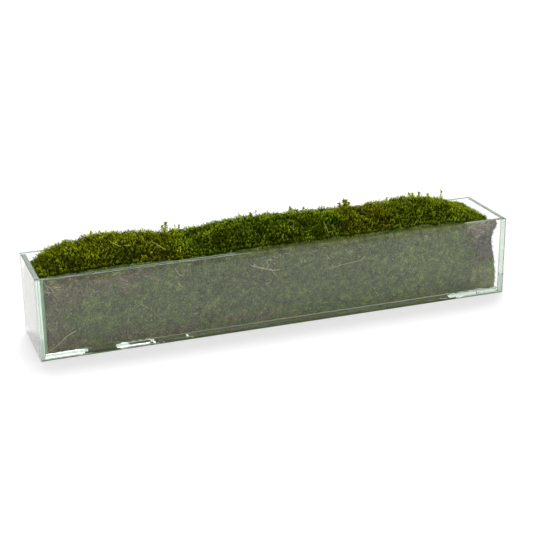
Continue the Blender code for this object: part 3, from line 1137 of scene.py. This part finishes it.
def lay_glass_bits(settings, materials):
    """Twig, roots and bits of stem between the felt and the front glass."""
    draw = np.random.default_rng(settings.seed * 100 + 60)
    heap = Heap()

    def flat(places, count, thick, thin, tint, slot, seed):
        x, z = np.array(places).T
        points = np.stack([x, np.full(len(x), GLASS_BIT_Y), z], 1)
        path = path_through(points, count, 0.0006, seed)
        path[:, 1] = np.clip(path[:, 1], GLASS_BIT_Y, GLASS_BIT_Y + 0.0008)
        put_tube(heap, path, thick, thin, tint, slot)

    flat(TWIG, 14, *TWIG_RADII, 0.6, 0, 500)
    for row, places in enumerate(ROOTS):
        thick = THICK_ROOT if row in THICK_ROOTS else THIN_ROOT
        flat(places, 12, thick, ROOT_END, draw.uniform(0.0, 0.9), 1, 510 + row)
    for row in range(ROOT_HAIRS):  # short hairs all along the main roots
        places = ROOTS[HAIRY_ROOTS[row % len(HAIRY_ROOTS)]]
        part = draw.integers(len(places) - 1)
        (x, z), (far_x, far_z) = places[part], places[part + 1]
        share, turn, reach = draw.random(), draw.uniform(0, 2 * math.pi), draw.uniform(0.0008, 0.0030)
        x, z = x + (far_x - x) * share, z + (far_z - z) * share
        tip = (x + reach * math.cos(turn), z + reach * math.sin(turn))
        flat([(x, z), tip], 4, *HAIR_RADII, draw.uniform(-0.6, 1.0), 1, 560 + row)
    for row, places in enumerate(PALE_BITS):
        flat(places, 10, *PALE_RADII, draw.uniform(-0.5, 0.5), 0, 530 + row)
    for row in range(SMALL_BITS):
        x = draw.uniform(-0.290, 0.250) if draw.random() < 0.6 else draw.uniform(-0.290, -0.120)
        z = 0.010 + 0.085 * draw.random()
        angle, half = draw.uniform(0, 2 * math.pi), draw.uniform(0.0005, 0.0022)
        bend = draw.uniform(-0.5, 0.5) * half
        places = [
            (x - half * math.cos(angle), z - half * math.sin(angle)),
            (x + bend * math.sin(angle), z - bend * math.cos(angle)),
            (x + half * math.cos(angle), z + half * math.sin(angle)),
        ]
        thick, tint, kind = draw.uniform(0.00018, 0.00040), draw.uniform(-1.0, 0.3), draw.random() < 0.35
        flat(places, 6, thick, 0.0002, tint, int(kind), 600 + row)
    # Fibres caught along the joint at the foot of the front glass.
    line = [(x, INSIDE_FLOOR + 0.0007) for x in np.linspace(-0.176, 0.236, 50)]
    flat(line, 170, *JOINT_RADII, 0.9, 0, 800)
    piece = heap.make("bits_on_front_glass", materials)
    lay_out_map(piece)
    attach(piece, "root")


def wetted_film(heap, low, high, tip, tint, brown, slot, seed):
    """A thin film of damp moss between two corners, with ragged ends and a ragged foot."""
    points, quads, sides = box_faces(low, high, 0.0025)
    half = (high[0] - low[0]) / 2
    at_end = np.abs(points[:, 0] - low[0] - half) > half - 1e-5
    points[:, 0] += at_end * 0.0008 * noise(points, 0.003, seed)
    if high[2] - low[2] > 0.002:
        at_foot = points[:, 2] < low[2] + 1e-5
        points[:, 2] += at_foot * 0.0028 * noise(points, 0.004, seed + 5)
    brown = np.maximum(brown, brown_at(points))
    tips = tip + 0.20 * noise(points, 0.004, seed + 1)
    tints = tint + 0.5 * noise(points, 0.006, seed + 2)
    heap.put(points, triangles(quads), tips, tints, brown, slot)


def wet_the_glass(settings, felt, leaf):
    """Damp moss where it wets the glass with no air between, so that it shows through the panes."""
    draw = np.random.default_rng(settings.seed * 100 + 70)
    heap = Heap()
    under, over = INSIDE_FLOOR - WETTED, INSIDE_FLOOR + 0.00024
    for row, (left, right, front, back) in enumerate(WET_PATCHES):
        low = (left, front + 0.0005, under)
        wetted_film(heap, low, (right, back, over), 0.46, 0.05, 0.0, 1, 91 + 4 * row)
    for _ in range(DRY_BITS):
        x, y = draw.uniform(*DRY_BITS_X), draw.uniform(*DRY_BITS_Y)
        half = draw.uniform(0.0006, 0.0018)
        points = [(x - half, y, under), (x, y + half, under - 0.0001), (x + half, y, under)]
        vertices, faces = tube(path_through(points, 5, 0.0, 0), np.linspace(0.0006, 0.0004, 5))
        heap.put(vertices, faces, 1.0, 0.6, 0.8, 0)
    for row, (left, right, front, back) in enumerate(WET_PATCHES):
        if front == INSIDE_FRONT:  # this patch also wets the joint at the foot of the glass
            x = np.linspace(left, right, max(4, round((right - left) / 0.004)))
            path = np.stack([x, np.full(len(x), INSIDE_FRONT + 0.00015), np.full(len(x), 0.0006)], 1)
            vertices, faces = tube(path, 0.0006)
            heap.put(vertices, faces, 0.40, 0.5 * noise(vertices, 0.006, 140 + row), 0.0, 1)
    for left, right, below in WET_RIM:
        low = (left, INSIDE_FRONT - WETTED, RIM - WET_RIM_DEPTH)
        wetted_film(heap, low, (right, INSIDE_FRONT + 0.0002, RIM - below), 0.42, 0.0, 0.25, 0, 131)
    piece = heap.make("damp_moss_on_glass", [felt, leaf])
    lay_out_map(piece)
    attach(piece, "root")


# The beads of adhesive: width of those in the corners, and radius of the ones under the front pane, which run
# from and to these places.
BEAD_WIDTH = 0.0036
FOOT_BEAD = 0.0008
TROUGH_FRONT = -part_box("front_pane")[0].y
FOOT_BEADS = (("adhesive_under_left", -0.3040, -0.1600), ("adhesive_under_right", 0.2330, 0.3040))
# The part of the front rim where its ground seam is paled further as a painted highlight, and how wide the
# seam is.
SEAM_AND_HIGHLIGHT_SPAN = (-0.3040, -0.0450)
SEAM = 0.00038


def run_bead(name, across, below_rim, material):
    """A fillet of adhesive up the inside corner at the left end, hollow towards the moss."""
    steps = 6
    angle = np.linspace(0, math.pi / 2, steps)
    thin = 0.0004
    hollow = np.stack([1 - np.sin(angle), 1 - np.cos(angle)], 1) * (BEAD_WIDTH - thin) + thin
    outline = np.concatenate([[(0.0, 0.0), (BEAD_WIDTH, 0.0)], hollow[::-1][1:-1], [(0.0, BEAD_WIDTH)]])
    levels = np.linspace(INSIDE_FLOOR + 0.0005, RIM - below_rim, 48)
    x = INSIDE_LEFT + 0.00005 + outline[:, 0]
    y = across * (INSIDE_BACK - 0.00005 - outline[:, 1])
    vertices = np.array([(a, b, z) for z in levels for a, b in zip(x, y)])
    swell = 1 + 0.12 * noise(vertices, 0.007, 97)
    vertices[:, 0] = x[0] + (vertices[:, 0] - x[0]) * swell
    faces = skin(len(levels), len(outline))
    if across > 0:
        faces = faces[:, ::-1]
    heap = Heap()
    heap.put(vertices, faces, 0.5, 0.0, 0.0, 0)
    piece = heap.make(name, [material])
    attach(piece, "root")


def run_edge_line(name, left, right, height, radius, material):
    """A thin line along a front edge of the front pane: adhesive below it, darker as painted shade, or the
    seam ground on its rim, paled as a painted highlight.
    """
    count = max(4, round((right - left) / 0.004))
    x = np.linspace(left, right, count)
    path = np.stack([x, np.full(count, radius - TROUGH_FRONT), np.full(count, height)], 1)
    vertices, faces = tube(path, radius * (0.8 + 0.2 * noise(path, 0.006, 99)), 6)
    heap = Heap()
    heap.put(vertices, faces, 0.5, 0.0, 0.0, 0)
    piece = heap.make(name, [material])
    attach(piece, "root")


def lay_out_map(piece):
    """A texture map with one small cell for each loose part's height along the shoot and its tint."""
    mesh = piece.data
    count = len(mesh.loops)
    vertex = np.empty(count, np.int32)
    mesh.loops.foreach_get("vertex_index", vertex)
    values = {}
    for key in ("tip", "tint"):
        data = np.empty(len(mesh.vertices), np.float32)
        mesh.attributes[key].data.foreach_get("value", data)
        values[key] = data
    layer = mesh.uv_layers.new(name="OFBake")
    slots = np.empty(len(mesh.polygons), np.int32)
    mesh.polygons.foreach_get("material_index", slots)
    column = np.repeat(slots, 3) / len(mesh.materials)
    face = np.repeat(np.arange(len(mesh.polygons)), 3)
    corner = np.tile([0.0, 0.5, 1.0], len(mesh.polygons))
    u = column + (0.04 + 0.9 * (0.5 + 0.45 * values["tint"][vertex]) + 0.02 * corner) / len(mesh.materials)
    v = 0.02 + 0.94 * values["tip"][vertex] + 0.004 * np.sin(face * 1.7) * (corner - 0.5)
    layer.data.foreach_set("uv", np.stack([u, v], 1).astype(np.float32).ravel())


# ---------------------------------------------------------------- operators


class TROUGH_OT_glass(bpy.types.Operator):
    """Gives the five panes their clear float glass"""

    bl_idname = "trough.glass"
    bl_label = "Glaze the trough"

    def execute(self, context):
        glass = float_glass(context.scene.trough_glass)
        for name in PANES:
            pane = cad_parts[name]
            pane.data.materials.clear()
            pane.data.materials.append(glass)
        # Its pale green colour is painted light: the green and brightness that light through the glass would
        # give the glue.
        adhesive = clear_adhesive("clear_adhesive", "9fd09a", "c6e6be")
        run_bead("adhesive_front_left", -1, 0.0030, adhesive)
        run_bead("adhesive_back_left", 1, 0.0180, adhesive)
        # A darker copy of the adhesive, as painted shade under the front pane.
        shaded = clear_adhesive("shaded_adhesive", "6f9c66", "8fba86")
        for name, left, right in FOOT_BEADS:
            run_edge_line(name, left, right, FOOT_BEAD, FOOT_BEAD, shaded)
        # A pale tube on the rim: a ground seam, paled further as a painted highlight along the rim.
        seamed = clear_adhesive("seam_and_painted_highlight", "a9b8ac", "dfe6e0")
        run_edge_line("rim_seam_and_painted_highlight", *SEAM_AND_HIGHLIGHT_SPAN, RIM - SEAM, SEAM, seamed)
        return {"FINISHED"}


def made_once(name, make, *looks):
    """The material of this name, made when it is first asked for."""
    return bpy.data.materials.get(name) or make(name, *looks)


def moss_materials():
    """The five leaf materials and the felt."""
    leaves = [made_once("living_" + name, moss_leaf, LEAF_COLOURS[name]) for name in CLUMPS]
    return [*leaves, made_once("pressed_sheet_moss", pressed_felt)]


class TROUGH_OT_clumps(bpy.types.Operator):
    """Grows the deep moss clumps"""

    bl_idname = "trough.clumps"
    bl_label = "Grow the clumps"

    def execute(self, context):
        top = MossTop()
        for name in CLUMPS:
            grow_moss(name, top, context.scene.trough_moss, context.scene.trough_mats, moss_materials())
        return {"FINISHED"}


class TROUGH_OT_mats(bpy.types.Operator):
    """Grows the sheets of moss that stand against the glass"""

    bl_idname = "trough.mats"
    bl_label = "Stand the mats"

    def execute(self, context):
        top = MossTop()
        for name in FRONT_MATS + BACK_MATS:
            grow_moss(name, top, context.scene.trough_moss, context.scene.trough_mats, moss_materials())
        wet_the_glass(context.scene.trough_moss, moss_materials()[-1], moss_materials()[1])
        return {"FINISHED"}


class TROUGH_OT_stems(bpy.types.Operator):
    """Lays the sprigs and loose stems on the moss, and the bits on the front glass"""

    bl_idname = "trough.stems"
    bl_label = "Lay the stems"

    def execute(self, context):
        top = MossTop()
        stem = made_once("yellow_stem", dry_fibre, "807e14", "c4c456", 0.6)
        for clump in CLUMPS:
            lay_stems(clump, top, context.scene.trough_moss, [*moss_materials()[:-1], stem])
        straw = made_once("dry_straw", dry_fibre, "a89e7c", "e8e2c6", 0.6)
        root = made_once("dead_root", dry_fibre, "a6967c", "e6dabe", 0.7)
        lay_glass_bits(context.scene.trough_moss, [straw, root])
        return {"FINISHED"}


# What the camera looks at: this share of the rim's height, then this far to the right and up in its view.
AIM_SHARE, AIM_RIGHT, AIM_UP = 0.42, -0.00603, 0.01591


def place_camera(settings):
    """The camera, looking at the trough from its front and a little from its left."""
    azimuth, elevation = settings.azimuth, settings.elevation
    back = Vector(
        (
            math.sin(azimuth) * math.cos(elevation),
            -math.cos(azimuth) * math.cos(elevation),
            math.sin(elevation),
        )
    )
    level = Vector((0, 0, 1)).cross(back).normalized()
    upright = back.cross(level)
    turn = settings.roll
    right = math.cos(turn) * level + math.sin(turn) * upright
    up = -math.sin(turn) * level + math.cos(turn) * upright
    aim = Vector((0, 0, AIM_SHARE * RIM)) + AIM_RIGHT * right + AIM_UP * up
    data = bpy.data.cameras.new("camera")
    data.lens = settings.lens
    data.sensor_width = 36.0
    data.clip_start = 0.05
    camera = bpy.data.objects.new("camera", data)
    turned = Matrix((right, up, back)).transposed().to_4x4()
    camera.matrix_world = Matrix.Translation(aim + back * settings.distance) @ turned
    bpy.context.scene.collection.objects.link(camera)
    bpy.context.scene.camera = camera


def light_table(glow):
    """The floor: a light table wide enough to fill every view."""
    mesh = bpy.data.meshes.new("floor")
    reach = 12.0
    corners = [(-reach, -reach, 0), (reach, -reach, 0), (reach, reach, 0), (-reach, reach, 0)]
    mesh.from_pydata(corners, [], [(0, 1, 2, 3)])
    mesh.materials.append(light_table_glass(glow))
    floor = bpy.data.objects.new("floor", mesh)
    floor.location.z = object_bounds()[0][2] - 0.0002
    bpy.context.scene.collection.objects.link(floor)
    floor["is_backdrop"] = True


def broad_light(name, towards, spread, strength):
    """A broad soft light that comes from one direction, flagged off so that the glass does not mirror it."""
    data = bpy.data.lights.new(name, "SUN")
    data.angle = spread
    data.energy = strength
    lamp = bpy.data.objects.new(name, data)
    lamp.visible_glossy = False
    lamp.matrix_world = Vector(towards).to_track_quat("Z", "Y").to_matrix().to_4x4()
    bpy.context.scene.collection.objects.link(lamp)


class TROUGH_OT_stage(bpy.types.Operator):
    """Sets the camera, the floor and the light"""

    bl_idname = "trough.stage"
    bl_label = "Set the stage"

    def execute(self, context):
        settings = context.scene.trough_stage
        place_camera(settings)
        light_table(settings.table)
        broad_light("soft_light", (0.25, 0.55, 1.0), math.radians(35), settings.lamp)
        world = bpy.data.worlds.new("white_room")
        world.use_nodes = True
        sky = world.node_tree.nodes["Background"]
        sky.inputs["Color"].default_value = (1, 1, 1, 1)
        sky.inputs["Strength"].default_value = settings.sky
        context.scene.world = world
        context.scene.view_settings.view_transform = "Standard"
        # Light goes round inside thick glass many times before it comes out of an edge.
        context.scene.cycles.max_bounces = 24
        context.scene.cycles.glossy_bounces = 16
        context.scene.cycles.transmission_bounces = 20
        return {"FINISHED"}


class TROUGH_PT_panel(bpy.types.Panel):
    """Lists the operators and their settings"""

    bl_idname = "TROUGH_PT_panel"
    bl_label = "Moss trough"
    bl_space_type = "VIEW_3D"
    bl_region_type = "UI"
    bl_category = "Moss trough"

    def draw(self, context):
        for operator in OPERATORS:
            self.layout.operator(operator.bl_idname)
        for key, group in SETTING_GROUPS.items():
            box = self.layout.box()
            for name in group.__annotations__:
                box.prop(getattr(context.scene, key), name)


OPERATORS = (TROUGH_OT_glass, TROUGH_OT_clumps, TROUGH_OT_mats, TROUGH_OT_stems, TROUGH_OT_stage)
CLASSES = (*SETTING_GROUPS.values(), *OPERATORS, TROUGH_PT_panel)


def register():
    for item in CLASSES:
        bpy.utils.register_class(item)
    for key, group in SETTING_GROUPS.items():
        setattr(bpy.types.Scene, key, bpy.props.PointerProperty(type=group))


def unregister():
    for key in SETTING_GROUPS:
        delattr(bpy.types.Scene, key)
    for item in reversed(CLASSES):
        bpy.utils.unregister_class(item)


def main():
    register()
    bpy.ops.trough.glass()
    bpy.ops.trough.clumps()
    bpy.ops.trough.mats()
    bpy.ops.trough.stems()
    bpy.ops.trough.stage()


if __name__ == "__main__":
    main()
